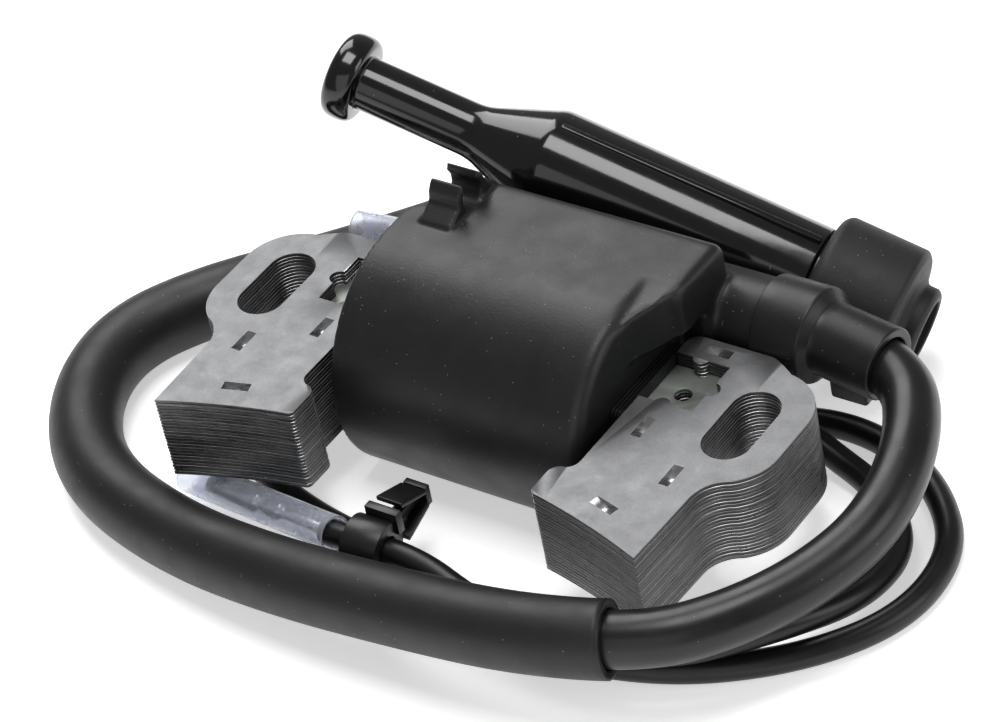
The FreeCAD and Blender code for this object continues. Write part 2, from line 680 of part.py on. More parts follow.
BOOT_FROM, NOZZLE_TO = 76.8, 93.8
big, small, hole = mm("boot_radius"), mm("boot_nozzle_radius"), mm("boot_hole_radius")
plug_boot = turned([(0, 0), (0, big - 0.8), (0.8, big), (13.0, big - 0.2), (13.4, big - 0.8),
                    (14.0, small + 0.9), (14.6, small), (16.5, small), (NOZZLE_TO - BOOT_FROM, small - 0.6),
                    (NOZZLE_TO - BOOT_FROM, 0)],
                   tuple(on_cap(BOOT_FROM)), WAY)
plug_boot = plug_boot.cut(rod(tuple(on_cap(BOOT_FROM - 1)), tuple(on_cap(BODY_END + 0.05)),
                              wide - 0.9 + 0.03))
plug_boot = plug_boot.cut(rod(tuple(on_cap(BODY_END)), tuple(on_cap(NOZZLE_TO + 1)), hole))
keep("plug_boot", plug_boot)

# ---------------------------------------------------------------- stop wires
# Both leave the back of the housing and run round the right leg. The inner one climbs on
# the outer one at the front and ends in the front connector. The outer one stays on the
# floor, runs under the left leg and turns back behind it to the rear connector.
WIRE_LOW = FLOOR + mm("wire_radius")
REAR_NECK, REAR_WAY = V(-10.6, 25.5, 7.9), V(-0.99, -0.12, 0.0).normalize()
FRONT_NECK, FRONT_WAY = V(-12.4, -29.7, 0.03), V(-0.967, 0.187, -0.166).normalize()
OUTER_ROUTE = [
    (END - 0.6, *OUTLETS[0]),
    (28.6, 19.8, -5.0),
    (36.6, 24.8, WIRE_LOW),
    (47.4, 24.0, WIRE_LOW),
    (58.4, 18.2, WIRE_LOW),
    (66.8, 8.0, WIRE_LOW),
    (67.2, -6.0, WIRE_LOW),
    (58.8, -18.6, WIRE_LOW),
    (44.4, -28.6, WIRE_LOW),
    (28.0, -32.6, WIRE_LOW),
    (10.0, -29.6, WIRE_LOW),
    (-8.0, -24.6, WIRE_LOW),
    (-25.0, -21.8, WIRE_LOW),
    (-38.6, -16.0, WIRE_LOW),
    (-41.2, -1.8, WIRE_LOW),
    (-38.6, 12.6, WIRE_LOW),
    (-32.6, 25.8, WIRE_LOW),
    (-23.6, 37.2, WIRE_LOW),
    (-12.6, 45.0, WIRE_LOW),
    (-1.0, 48.6, WIRE_LOW),
    (9.4, 46.6, WIRE_LOW),
    (15.5, 40.4, -4.4),
    (15.5, 31.8, -0.4),
    (9.4, 25.6, 4.0),
    tuple(REAR_NECK - REAR_WAY * 9.5),
    tuple(REAR_NECK),
]
INNER_ROUTE = [
    (END - 0.6, *OUTLETS[1]),
    (30.2, 18.8, 0.8),
    (40.0, 18.0, -4.6),
    (51.4, 14.6, WIRE_LOW),
    (60.2, 6.0, WIRE_LOW),
    (60.8, -6.6, -4.4),
    (54.8, -19.0, -1.9),
    (44.4, -29.8, -1.8),
    (29.6, -34.0, -1.8),
    (14.4, -32.4, -1.3),
    (3.2, -29.6, 0.2),
    tuple(FRONT_NECK - FRONT_WAY * 5.0),
    tuple(FRONT_NECK),
]
keep("outer_wire", tube("outer_wire", OUTER_ROUTE, mm("wire_radius")))
keep("inner_wire", tube("inner_wire", INNER_ROUTE, mm("wire_radius")))

for outlet, side in zip(OUTLETS, ("outer", "inner")):
    grommet = turned([(0, 0), (0, outlet_radius), (RIGHT_WALL, outlet_radius), (RIGHT_WALL, 3.3),
                      (RIGHT_WALL + 1.6, 2.9), (RIGHT_WALL + 1.6, 0)], (CAVITY_END, *outlet), (1, 0, 0))
    keep(f"{side}_grommet", grommet.cut(nodes[f"{side}_wire"].Shape))

# Each wire ends in a crimped socket for a round bullet pin, inside a clear sleeve
SOCKET_LONG, CRIMP_AT, TERMINAL_TO = 33.4, 13.0, 25.6
SOCKET_OUTER, SOCKET_BORE, SLEEVE_OUTER, SLEEVE_BORE = 1.95, 1.6, 2.55, 2.15
NECK_OVER = 1.6
wire_radius = mm("wire_radius")
for name, wire, neck, way, neck_gap in (("front", "inner_wire", FRONT_NECK, FRONT_WAY, 0.02),
                                        ("rear", "outer_wire", REAR_NECK, REAR_WAY, 0.05)):
    neck_bore = wire_radius + neck_gap
    profile = [(0, neck_bore), (0, wire_radius + 0.3), (SOCKET_LONG * 0.1, wire_radius + 0.3),
               (SOCKET_LONG * 0.22, SLEEVE_OUTER), (SOCKET_LONG, SLEEVE_OUTER),
               (SOCKET_LONG, SLEEVE_BORE), (NECK_OVER, SLEEVE_BORE), (NECK_OVER, neck_bore)]
    keep(f"{name}_socket_sleeve", turned(profile, tuple(neck - way * NECK_OVER), tuple(way)))
    terminal = turned([(-0.4, 0), (-0.4, 1.1), (CRIMP_AT - 4.0, 1.1), (CRIMP_AT - 3.4, 1.75),
                       (CRIMP_AT, 1.75), (CRIMP_AT + 0.4, 1.45), (CRIMP_AT + 1.2, 1.45),
                       (CRIMP_AT + 1.6, SOCKET_OUTER), (TERMINAL_TO, SOCKET_OUTER),
                       (TERMINAL_TO, SOCKET_BORE), (CRIMP_AT + 3.0, SOCKET_BORE), (CRIMP_AT + 3.0, 0)],
                      tuple(neck), tuple(way))
    keep(f"{name}_bullet_socket", terminal.cut(nodes[wire].Shape))

# ---------------------------------------------------------------- cable clip
# A snap-in clip round the inner wire: a ring, a square flange, and a post that points back
# with two sprung barbs, hinged at its nose.
clip_run = V(*INNER_ROUTE[-2]) - V(*INNER_ROUTE[-3])
CLIP_WAY = V(clip_run).normalize()
CLIP_AT = V(*INNER_ROUTE[-3]) + clip_run * 0.7
CLIP_WIDE = mm("clip_wide")
ring_start = CLIP_AT - CLIP_WAY * (CLIP_WIDE / 2)
ring = rod(tuple(ring_start), tuple(ring_start + CLIP_WAY * CLIP_WIDE), mm("clip_radius"))
FLANGE_BACK, FLANGE_THICK, FLANGE_WIDE, FLANGE_TOP = 4.05, 1.3, 5.4, 4.6
POST_LONG, POST_HIGH, POST_WIDE, POST_UP = 6.6, 1.4, 1.8, 1.3
NOSE_LONG, NOSE_HIGH = 1.0, 3.2
corner = CLIP_AT + V(0.6, FLANGE_BACK, 0)
ring = ring.fuse(Part.makeBox(FLANGE_WIDE, FLANGE_THICK, FLANGE_TOP - 1.0,
                              corner + V(-FLANGE_WIDE / 2, -FLANGE_THICK, 1.0)))
ring = ring.fuse(Part.makeBox(POST_WIDE, POST_LONG + 0.5, POST_HIGH,
                              corner + V(-POST_WIDE / 2, -0.3, POST_UP - POST_HIGH / 2)))
ring = ring.fuse(Part.makeBox(FLANGE_WIDE - 1.6, NOSE_LONG, NOSE_HIGH,
                              corner + V(0.8 - FLANGE_WIDE / 2, POST_LONG, POST_UP - NOSE_HIGH / 2)))
ring = ring.cut(rod(tuple(ring_start - CLIP_WAY), tuple(ring_start + CLIP_WAY * 7), mm("clip_bore")))
keep("clip_ring", ring.removeSplitter())
BARB_WIDE, BARB_GAP, BARB_HINGE_UP = 4.4, 0.08, 1.0
for name, side in (("clip_barb_upper", 1), ("clip_barb_lower", -1)):
    hinge = corner + V(0, POST_LONG - BARB_GAP, POST_UP + side * BARB_HINGE_UP)
    wing = along_x([(hinge.y, hinge.z + side * 0.5, 0), (hinge.y - 5.6, hinge.z + side * 2.5, 0.2),
                    (hinge.y - 5.6, hinge.z + side * 1.7, 0.2), (hinge.y, hinge.z - side * 0.2, 0)],
                   hinge.x - BARB_WIDE / 2, hinge.x + BARB_WIDE / 2)
    keep(name, wing)

# ---------------------------------------------------------------- checks and files
doc.recompute()
for item in doc.Objects:
    if {"Invalid", "Error"} & set(item.State):
        raise RuntimeError(f"{item.Label} failed: {item.State}")
for name, item in nodes.items():
    shape = item.Shape
    if shape.isNull() or not shape.isValid() or shape.Volume <= 0:
        raise RuntimeError(f"{name} has no valid shape")
for name, item in nodes.items():
    item.Shape.exportStep(f"parts/{name}.step")
    box = item.Shape.BoundBox
    print(f"{name}: {item.Shape.Volume:.0f} mm3, {len(item.Shape.Solids)} solids, "
          f"z {box.ZMin:.1f} to {box.ZMax:.1f}")
print(len(nodes), "nodes")
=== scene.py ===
"""Visual model of a small engine's ignition coil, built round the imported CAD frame."""
import math
import random

import bmesh
import bpy
from mathutils import Matrix, Vector


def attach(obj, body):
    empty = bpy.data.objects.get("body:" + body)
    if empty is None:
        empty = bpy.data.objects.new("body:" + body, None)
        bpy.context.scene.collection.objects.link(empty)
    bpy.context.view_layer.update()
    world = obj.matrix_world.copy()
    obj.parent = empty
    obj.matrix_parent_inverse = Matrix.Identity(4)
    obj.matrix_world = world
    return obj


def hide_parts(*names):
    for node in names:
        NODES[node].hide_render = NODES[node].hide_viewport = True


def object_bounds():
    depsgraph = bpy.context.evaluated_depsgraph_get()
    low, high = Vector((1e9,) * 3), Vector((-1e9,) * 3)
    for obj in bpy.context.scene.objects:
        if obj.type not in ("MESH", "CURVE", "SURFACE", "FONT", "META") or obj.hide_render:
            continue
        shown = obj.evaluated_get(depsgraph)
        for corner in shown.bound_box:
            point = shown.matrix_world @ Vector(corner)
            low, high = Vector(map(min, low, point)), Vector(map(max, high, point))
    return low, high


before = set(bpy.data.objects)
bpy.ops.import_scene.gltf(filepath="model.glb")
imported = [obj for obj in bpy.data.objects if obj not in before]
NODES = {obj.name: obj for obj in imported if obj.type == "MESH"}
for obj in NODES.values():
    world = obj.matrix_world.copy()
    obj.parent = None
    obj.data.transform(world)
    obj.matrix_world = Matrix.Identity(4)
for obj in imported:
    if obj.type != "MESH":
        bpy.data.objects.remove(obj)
CAD_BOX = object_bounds()
MM = 0.001
rng = random.Random(7)


def at(*p):
    """A point in metres from millimetres."""
    return Vector(p) * MM


# ------------------------------------------------------------------ camera, light and floor
WORLD_LIGHT = 0.24
FLOOR_HALF = 3.0
CAMERA_PLACE = (308.11, -348.83, 385.06)

world = bpy.data.worlds.new("studio")
bpy.context.scene.world = world
world.use_nodes = True
world.node_tree.nodes["Background"].inputs["Color"].default_value = (1.0, 1.0, 1.0, 1.0)
world.node_tree.nodes["Background"].inputs["Strength"].default_value = WORLD_LIGHT

cam = bpy.data.objects.new("camera", bpy.data.cameras.new("camera"))
bpy.context.scene.collection.objects.link(cam)
cam.data.sensor_width = 36.0
cam.data.lens = 151.6
cam.data.clip_start, cam.data.clip_end = 0.01, 10.0
RIGHT = Vector((0.8184, 0.5519, -0.1606)).normalized()
BACK = Vector((0.5171, -0.5848, 0.6251)).normalized()
UP = BACK.cross(RIGHT).normalized()
RIGHT = UP.cross(BACK).normalized()
camera_turn = Matrix((RIGHT, UP, BACK)).transposed()
cam.matrix_world = Matrix.Translation(at(*CAMERA_PLACE)) @ camera_turn.to_4x4()
bpy.context.scene.camera = cam
bpy.context.scene.view_settings.view_transform = "Standard"


def area_light(name, place, size, watts):
    """A square soft light that looks at the object."""
    data = bpy.data.lights.new(name, "AREA")
    data.energy = watts
    data.size = size
    lamp = bpy.data.objects.new(name, data)
    bpy.context.scene.collection.objects.link(lamp)
    lamp.location = place
    lamp.rotation_mode = "QUATERNION"
    lamp.rotation_quaternion = (LIGHTS_AIM_AT - Vector(place)).to_track_quat("-Z", "Y")


LIGHTS_AIM_AT = Vector((0.0, 0.0, 0.01))
area_light("key_left_back", (-0.45, 0.35, 0.62), 0.5, 4.2)
area_light("top_soft", (0.05, 0.0, 0.9), 0.42, 4.2)
area_light("fill_front", (0.25, -0.75, 0.30), 0.7, 1.3)
area_light("rim_right", (0.75, 0.15, 0.35), 0.4, 1.6)

FLOOR_Z = CAD_BOX[0].z
floor_mesh = bpy.data.meshes.new("floor")
floor_signs = ((-1, -1), (1, -1), (1, 1), (-1, 1))
floor_corners = [(x * FLOOR_HALF, y * FLOOR_HALF, FLOOR_Z) for x, y in floor_signs]
floor_mesh.from_pydata(floor_corners, [], [(0, 1, 2, 3)])
floor = bpy.data.objects.new("floor", floor_mesh)
bpy.context.scene.collection.objects.link(floor)


# ------------------------------------------------------------------ materials
class Nodes:
    """A short way to build a node tree round one Principled shader."""

    def __init__(self, name):
        self.material = bpy.data.materials.new(name)
        self.material.use_nodes = True
        self.tree = self.material.node_tree
        self.shader = self.tree.nodes["Principled BSDF"]

    def set(self, **sockets):
        for name, value in sockets.items():
            self.shader.inputs[name.replace("_", " ")].default_value = value

    def add(self, kind, **settings):
        node = self.tree.nodes.new(kind)
        for key, value in settings.items():
            setattr(node, key, value)
        return node

    def link(self, source, target):
        self.tree.links.new(source, target)

    def coords(self, scale=(1, 1, 1)):
        """The object's own coordinates, stretched by a scale."""
        space = self.add("ShaderNodeTexCoord")
        mapping = self.add("ShaderNodeMapping")
        mapping.inputs["Scale"].default_value = scale
        self.link(space.outputs["Object"], mapping.inputs["Vector"])
        return mapping.outputs["Vector"]

    def noise(self, scale, detail=4.0, roughness=0.55, stretch=(1, 1, 1)):
        node = self.add("ShaderNodeTexNoise")
        node.inputs["Scale"].default_value = scale
        node.inputs["Detail"].default_value = detail
        node.inputs["Roughness"].default_value = roughness
        self.link(self.coords(stretch), node.inputs["Vector"])
        return node.outputs["Fac"]

    def ramp(self, value, *stops):
        """stops are (position, grey or colour)."""
        node = self.add("ShaderNodeValToRGB")
        elements = node.color_ramp.elements
        while len(elements) < len(stops):
            elements.new(0.5)
        for element, (place, colour) in zip(elements, stops):
            if isinstance(colour, (int, float)):
                colour = (colour, colour, colour)
            element.position = place
            element.color = (*colour, 1.0)
        self.link(value, node.inputs["Fac"])
        return node.outputs["Color"]

    def blend(self, factor, first, second):
        """A mix of two colours. 0, 6 and 7 are the node's sockets for its factor and colours."""
        node = self.add("ShaderNodeMix", data_type="RGBA", blend_type="MIX")
        for value, socket in ((factor, 0), (first, 6), (second, 7)):
            if isinstance(value, (int, float)):
                node.inputs[socket].default_value = value
            elif isinstance(value, tuple):
                node.inputs[socket].default_value = (*value, 1.0)
            else:
                self.link(value, node.inputs[socket])
        return node.outputs[2]

    def maths(self, how, first, second=0.0):
        node = self.add("ShaderNodeMath", operation=how)
        for index, value in enumerate((first, second)):
            if isinstance(value, (int, float)):
                node.inputs[index].default_value = value
            else:
                self.link(value, node.inputs[index])
        return node.outputs[0]

    def bump(self, height, strength, distance):
        node = self.add("ShaderNodeBump")
        node.inputs["Strength"].default_value = strength
        node.inputs["Distance"].default_value = distance
        self.link(height, node.inputs["Height"])
        self.link(node.outputs["Normal"], self.shader.inputs["Normal"])

    def colour(self, source):
        self.link(source, self.shader.inputs["Base Color"])

    def roughness(self, source):
        self.link(source, self.shader.inputs["Roughness"])


SPECK_SIZE = 0.13


def dust(n, scale, amount):
    """Small pale specks: 1 on a speck, 0 elsewhere. amount is the share of cells that hold one."""
    cells = n.add("ShaderNodeTexVoronoi")
    cells.inputs["Scale"].default_value = scale
    cells.inputs["Randomness"].default_value = 1.0
    n.link(n.coords(), cells.inputs["Vector"])
    near = n.maths("LESS_THAN", cells.outputs["Distance"], SPECK_SIZE)
    split = n.add("ShaderNodeSeparateColor")
    n.link(cells.outputs["Color"], split.inputs[0])
    chosen = n.maths("LESS_THAN", split.outputs[0], amount)
    return n.maths("MULTIPLY", near, chosen)


SPECK_COLOUR = (0.16, 0.15, 0.14)
SPECK_SCALE = 1500.0


def black_moulding(name, colour, rough, grain, grain_depth, specks, spread=0.12, coat=0.0):
    """Black plastic or rubber with a fine grain, cloudy gloss and a few specks of dust."""
    n = Nodes(name)
    cloud = n.noise(90.0, 5.0)
    dark, light = (tuple(c * share for c in colour) for share in (0.8, 1.25))
    shade = n.ramp(cloud, (0.25, dark), (0.75, light))
    n.colour(n.blend(dust(n, SPECK_SCALE, specks), shade, SPECK_COLOUR))
    n.roughness(n.ramp(n.noise(220.0, 6.0), (0.3, rough - spread / 2), (0.7, rough + spread / 2)))
    n.bump(n.noise(grain, 3.0), 0.35, grain_depth)
    n.set(Specular_IOR_Level=0.38)
    if coat:
        n.set(Coat_Weight=coat, Coat_Roughness=0.08)
    return n.material


HOUSING = black_moulding("housing_plastic", (0.0085, 0.0087, 0.0095), 0.42, 2600.0, 0.00007, 0.10,
                         spread=0.10)
BOOT_RUBBER = black_moulding("boot_rubber", (0.007, 0.007, 0.0075), 0.40, 1500.0, 0.00005, 0.05)
MATT_RUBBER = black_moulding("matt_rubber", (0.009, 0.009, 0.009), 0.56, 1800.0, 0.00008, 0.06)
LEAD_RUBBER = black_moulding("lead_rubber", (0.007, 0.007, 0.0075), 0.33, 1200.0, 0.00003, 0.04)
SLEEVE_RUBBER = black_moulding("sleeve_rubber", (0.009, 0.009, 0.0095), 0.48, 1400.0, 0.00006, 0.07)
WIRE_PVC = black_moulding("wire_pvc", (0.005, 0.005, 0.0055), 0.36, 1500.0, 0.00002, 0.02)
CAP_PLASTIC = black_moulding("cap_plastic", (0.003, 0.003, 0.0035), 0.14, 300.0, 0.00004, 0.02,
                             spread=0.06, coat=0.4)
CLIP_PLASTIC = black_moulding("clip_plastic", (0.006, 0.006, 0.0065), 0.36, 900.0, 0.00005, 0.03)


def sheet_top():
    """Punched steel seen from above: brushed grey, with faint stains and fine scratches."""
    n = Nodes("core_top_steel")
    grain = n.noise(2400.0, 4.0, 0.6)
    stain = n.noise(70.0, 4.0)
    base = n.ramp(grain, (0.3, (0.165, 0.167, 0.172)), (0.7, (0.20, 0.202, 0.207)))
    n.colour(n.blend(n.ramp(stain, (0.35, 0.0), (0.75, 0.30)), base, (0.15, 0.15, 0.15)))
    n.roughness(n.ramp(n.noise(400.0, 4.0), (0.3, 0.44), (0.7, 0.56)))
    n.bump(grain, 0.3, 0.00003)
    n.set(Metallic=0.8)
    return n.material


def sheet_edge():
    """The cut edges of the stack: each sheet a little lighter or darker, with a torn band."""
    n = Nodes("core_edge_steel")
    streak = n.noise(60.0, 3.0, 0.5, (1.0, 1.0, 28.0))
    fine = n.noise(500.0, 4.0, 0.6, (1.0, 1.0, 3.4))
    tone = n.blend(0.3, streak, fine)
    n.colour(n.ramp(tone, (0.36, (0.07, 0.07, 0.072)), (0.52, (0.13, 0.13, 0.132)),
                    (0.70, (0.24, 0.24, 0.24))))
    n.roughness(n.ramp(fine, (0.3, 0.30), (0.7, 0.50)))
    n.set(Metallic=0.9)
    return n.material


def plain_metal(name, dark, light, rough, metallic=1.0, scale=600.0):
    """Bare metal whose colour drifts between two tones, with a cloudy gloss."""
    n = Nodes(name)
    mix = n.noise(scale, 5.0)
    n.colour(n.ramp(mix, (0.3, dark), (0.7, light)))
    n.roughness(n.ramp(n.noise(scale * 0.6, 4.0), (0.3, rough - 0.06), (0.7, rough + 0.08)))
    n.bump(mix, 0.2, 0.00002)
    n.set(Metallic=metallic)
    return n.material


CORE_TOP = sheet_top()
CORE_EDGE = sheet_edge()
CORE_GROOVE = plain_metal("core_groove", (0.02, 0.02, 0.02), (0.05, 0.05, 0.05), 0.6, 0.5)
# Lighter metal for the burr band along each sheet's top edge and for the stake walls: partly bare cut metal,
# partly a painted highlight along the edges.
CORE_BARE_AND_PAINTED_HIGHLIGHT = plain_metal("core_bare_and_painted_highlight", (0.34, 0.34, 0.345), (0.48, 0.48, 0.485), 0.30)
STRIP = plain_metal("earth_strip_metal", (0.20, 0.22, 0.20), (0.27, 0.285, 0.26), 0.42, 0.5, 300.0)
TIN = plain_metal("tinned_socket", (0.70, 0.69, 0.66), (0.86, 0.85, 0.82), 0.16)
CRIMP = plain_metal("crimped_brass", (0.52, 0.47, 0.36), (0.74, 0.70, 0.58), 0.24)
COPPER = plain_metal("winding_copper", (0.55, 0.24, 0.10), (0.75, 0.38, 0.18), 0.3, 1.0, 1500.0)


def clear_vinyl():
    """The slightly hazy soft plastic of the sleeves."""
    n = Nodes("clear_vinyl")
    cloud = n.noise(260.0, 4.0)
    n.colour(n.ramp(cloud, (0.3, (0.76, 0.79, 0.90)), (0.7, (0.88, 0.90, 0.97))))
    n.roughness(n.ramp(n.noise(150.0, 3.0), (0.3, 0.18), (0.7, 0.34)))
    n.bump(cloud, 0.3, 0.00008)
    n.set(Transmission_Weight=0.82, IOR=1.25)
    return n.material


VINYL = clear_vinyl()


def floor_material():
    """Plain white paper that glows a little, so that the floor stays pale."""
    n = Nodes("floor_white")
    n.colour(n.ramp(n.noise(4.0), (0.3, 0.93), (0.7, 0.95)))
    n.set(Roughness=0.55, Emission_Color=(1.0, 1.0, 1.0, 1.0), Emission_Strength=0.5)
    return n.material


floor.data.materials.append(floor_material())


# ------------------------------------------------------------------ cords
def shown(name, data, body="coil"):
    """Put a mesh or curve in the scene as a piece that rides on a body."""
    obj = bpy.data.objects.new(name, data)
    bpy.context.scene.collection.objects.link(obj)
    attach(obj, body)
    return obj


def spline_curve(name, points, radius):
    """A round cord on one NURBS spline, in millimetres.

    The bevel is a circle of one metre that each point's own radius scales down.
    """
    data = bpy.data.curves.new(name, "CURVE")
    data.dimensions = "3D"
    data.resolution_u = 16
    spline = data.splines.new("NURBS")
    spline.points.add(len(points) - 1)
    for target, point in zip(spline.points, points):
        target.co = (*at(*point), 1.0)
        target.radius = radius * MM
    spline.order_u = 3
    spline.use_endpoint_u = True
    data.bevel_depth = 1.0
    data.bevel_resolution = 8
    data.use_fill_caps = True
    return shown(name, data)


def line_of(curve):
    """Points along a curve's own line, read from its spline."""
    depth = curve.data.bevel_depth
    curve.data.bevel_depth = 0.0
    bpy.context.view_layer.update()
    mesh = bpy.data.meshes.new_from_object(curve.evaluated_get(bpy.context.evaluated_depsgraph_get()))
    points = [v.co.copy() for v in mesh.vertices]
    bpy.data.meshes.remove(mesh)
    curve.data.bevel_depth = depth
    return points


LEAD_RADIUS, SLEEVE_RADIUS, SLEEVE_BORE, WIRE_RADIUS = 4.0, 5.5, 4.35, 2.0
TOWER = (21.6, 13.3)
CAP_START = Vector((-43.45, 28.28, 31.35))
CAP_WAY = Vector((0.9362, 0.1329, -0.3253)).normalized()


def on_cap(along):
    """The point on the plug cap's axis that far from its start."""
    return CAP_START + CAP_WAY * along


BRANCH_WAY = Vector((-0.74, 0.50, -0.45)).normalized()
branch_root = on_cap(44.0)
FLOOR_MM = -8.0
WIRE_LOW = FLOOR_MM + WIRE_RADIUS
REAR_NECK = Vector((-10.6, 25.5, 7.9))
REAR_WAY = Vector((-0.99, -0.12, 0.0)).normalized()
FRONT_NECK = Vector((-12.4, -29.7, 0.03))
FRONT_WAY = Vector((-0.967, 0.187, -0.166)).normalized()

LEAD_ROUTE = [
    (33.5, *TOWER),
    (40.2, *TOWER),
    (54.6, 20.1, 12.1),
    (61.4, 9.4, 11.0),
    (63.6, -3.8, 8.6),
    (60.4, -15.4, 6.9),
    (54.2, -26.4, 6.3),
    (45.6, -35.0, 5.9),
    (28.4, -39.8, 4.8),
    (9.0, -40.8, 2.7),
    (-13.0, -40.6, 0.3),
    (-34.4, -38.2, -1.9),
    (-54.2, -32.2, -2.5),
    (-66.2, -19.8, -2.5),
    (-69.8, -5.0, -2.5),
    (-63.0, 8.2, -2.5),
    (-51.0, 20.4, -2.5),
    (-39.8, 33.0, -2.3),
    (-29.6, 43.2, -0.6),
    tuple(branch_root + BRANCH_WAY * 19.5),
    tuple(branch_root + BRANCH_WAY * 6.6),
]
OUTER_ROUTE = [
    (20.6, 17.6, -3.8),
    (28.6, 19.8, -5.0),
    (36.6, 24.8, WIRE_LOW),
    (47.4, 24.0, WIRE_LOW),
    (58.4, 18.2, WIRE_LOW),
    (66.8, 8.0, WIRE_LOW),
    (67.2, -6.0, WIRE_LOW),
    (58.8, -18.6, WIRE_LOW),
    (44.4, -28.6, WIRE_LOW),
    (28.0, -32.6, WIRE_LOW),
    (10.0, -29.6, WIRE_LOW),
    (-8.0, -24.6, WIRE_LOW),
    (-25.0, -21.8, WIRE_LOW),
    (-38.6, -16.0, WIRE_LOW),
    (-41.2, -1.8, WIRE_LOW),
    (-38.6, 12.6, WIRE_LOW),
    (-32.6, 25.8, WIRE_LOW),
    (-23.6, 37.2, WIRE_LOW),
    (-12.6, 45.0, WIRE_LOW),
    (-1.0, 48.6, WIRE_LOW),
    (9.4, 46.6, WIRE_LOW),
    (15.5, 40.4, -4.4),
    (15.5, 31.8, -0.4),
    (9.4, 25.6, 4.0),
    tuple(REAR_NECK - REAR_WAY * 9.5),
    tuple(REAR_NECK),
]
INNER_ROUTE = [
    (20.6, 17.6, 3.2),
    (30.2, 18.8, 0.8),
    (40.0, 18.0, -4.6),
    (51.4, 14.6, WIRE_LOW),
    (60.2, 6.0, WIRE_LOW),
    (60.8, -6.6, -4.4),
    (54.8, -19.0, -1.9),
    (44.4, -29.8, -1.8),
    (29.6, -34.0, -1.8),
    (14.4, -32.4, -1.3),
    (3.2, -29.6, 0.2),
    tuple(FRONT_NECK - FRONT_WAY * 5.0),
    tuple(FRONT_NECK),
]

lead = spline_curve("lead", LEAD_ROUTE, LEAD_RADIUS)
lead.data.materials.append(LEAD_RUBBER)
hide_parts("ht_lead")
outer_wire = spline_curve("wire_outer", OUTER_ROUTE, WIRE_RADIUS)
inner_wire = spline_curve("wire_inner", INNER_ROUTE, WIRE_RADIUS)
for piece, node in ((outer_wire, "outer_wire"), (inner_wire, "inner_wire")):
    piece.data.materials.append(WIRE_PVC)
    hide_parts(node)

lead_line = line_of(lead)


def ring_frames(points):
    """A pair of side vectors at each point that turn as little as they can."""
    frames = []
    side = None
    for i, point in enumerate(points):
        ahead = (points[min(i + 1, len(points) - 1)] - points[max(i - 1, 0)]).normalized()
        if side is None:
            side = ahead.cross(Vector((0, 0, 1))).normalized()
        side = (side - ahead * side.dot(ahead)).normalized()
        frames.append((point, side, ahead.cross(side)))
    return frames


def hose(name, points, outer, bore, material, wobble):
    """An open-ended tube wall along a line, with cut-back lips and a slow, uneven swell."""
    around, lip = 40, 0.25 * MM
    lobes, twist, pulse = 3, 0.11, 0.037
    frames = ring_frames(points)
    bm = bmesh.new()
    profile = [(0, bore), (0, outer - lip)] + [(i, outer) for i in range(len(frames))]
    profile += [(len(frames) - 1, outer - lip), (len(frames) - 1, bore)]
    profile += [(i, bore) for i in range(len(frames) - 1, 0, -1)]
    rings = []
    for index, radius in profile:
        centre, side, up = frames[index]
        ring = []
        for k in range(around):
            angle = 2 * math.pi * k / around
            swell = 1 + wobble * math.sin(lobes * angle + index * twist) * math.sin(index * pulse)
            out = side * math.cos(angle) + up * math.sin(angle)
            ring.append(bm.verts.new(centre + out * radius * swell))
        rings.append(ring)
    rings.append(rings[0])
    for a, b in zip(rings, rings[1:]):
        for k in range(around):
            bm.faces.new((a[k], a[(k + 1) % around], b[(k + 1) % around], b[k]))
    bmesh.ops.recalc_face_normals(bm, faces=bm.faces)
    mesh = bpy.data.meshes.new(name)
    bm.to_mesh(mesh)
    bm.free()
    for face in mesh.polygons:
        face.use_smooth = True
    mesh.materials.append(material)
    return shown(name, mesh)


def nearest_on_lead(point):
    """Which point of the lead's line is nearest to a place in millimetres."""
    gaps = [(p - at(*point)).length for p in lead_line]
    return gaps.index(min(gaps))


SLEEVE_START, SLEEVE_END = (40.2, -36.4, 5.6), (-34.2, 38.6, -1.4)
sleeve_line = lead_line[nearest_on_lead(SLEEVE_START):nearest_on_lead(SLEEVE_END) + 1]
sleeve = hose("sleeve", sleeve_line, SLEEVE_RADIUS * MM, SLEEVE_BORE * MM, SLEEVE_RUBBER, wobble=0.012)
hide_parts("lead_sleeve")


# ------------------------------------------------------------------ meshes
LEVEL = 0.999
WELD = 0.002 * MM


def finished(name, bm, materials, nodes, body="coil", sharp=32.0, level_faces=False):
    """Turn a bmesh into a piece that stands in for some CAD nodes.

    Edges over the sharp angle stay crisp. level_faces keeps flat any face that looks up or down.
    """
    mesh = bpy.data.meshes.new(name)
    bm.to_mesh(mesh)
    bm.free()
    for material in materials:
        mesh.materials.append(material)
    for face in mesh.polygons:
        face.use_smooth = not (level_faces and abs(face.normal.z) > LEVEL)
    mesh.set_sharp_from_angle(angle=math.radians(sharp))
    piece = shown(name, mesh, body)
    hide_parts(*nodes)
    return piece


def welded(node_name):
    """A CAD node's surface with its loose triangles joined up, in the row's frame."""
    node = NODES[node_name]
    bm = bmesh.new()
    bm.from_mesh(node.data)
    bm.transform(node.matrix_world)
    bmesh.ops.remove_doubles(bm, verts=bm.verts, dist=WELD)
    return bm


def soften(bm, width):
    """Round the sharp edges of a surface by a small amount."""
    flat_within, sharp_from = math.radians(0.5), math.radians(30.0)
    bmesh.ops.dissolve_limit(bm, angle_limit=flat_within, verts=bm.verts, edges=bm.edges)
    sharp = [e for e in bm.edges if len(e.link_faces) == 2 and e.calc_face_angle(0.0) > sharp_from]
    bmesh.ops.bevel(bm, geom=sharp, offset=width * MM, segments=2, affect="EDGES", profile=0.5,
                    clamp_overlap=True)


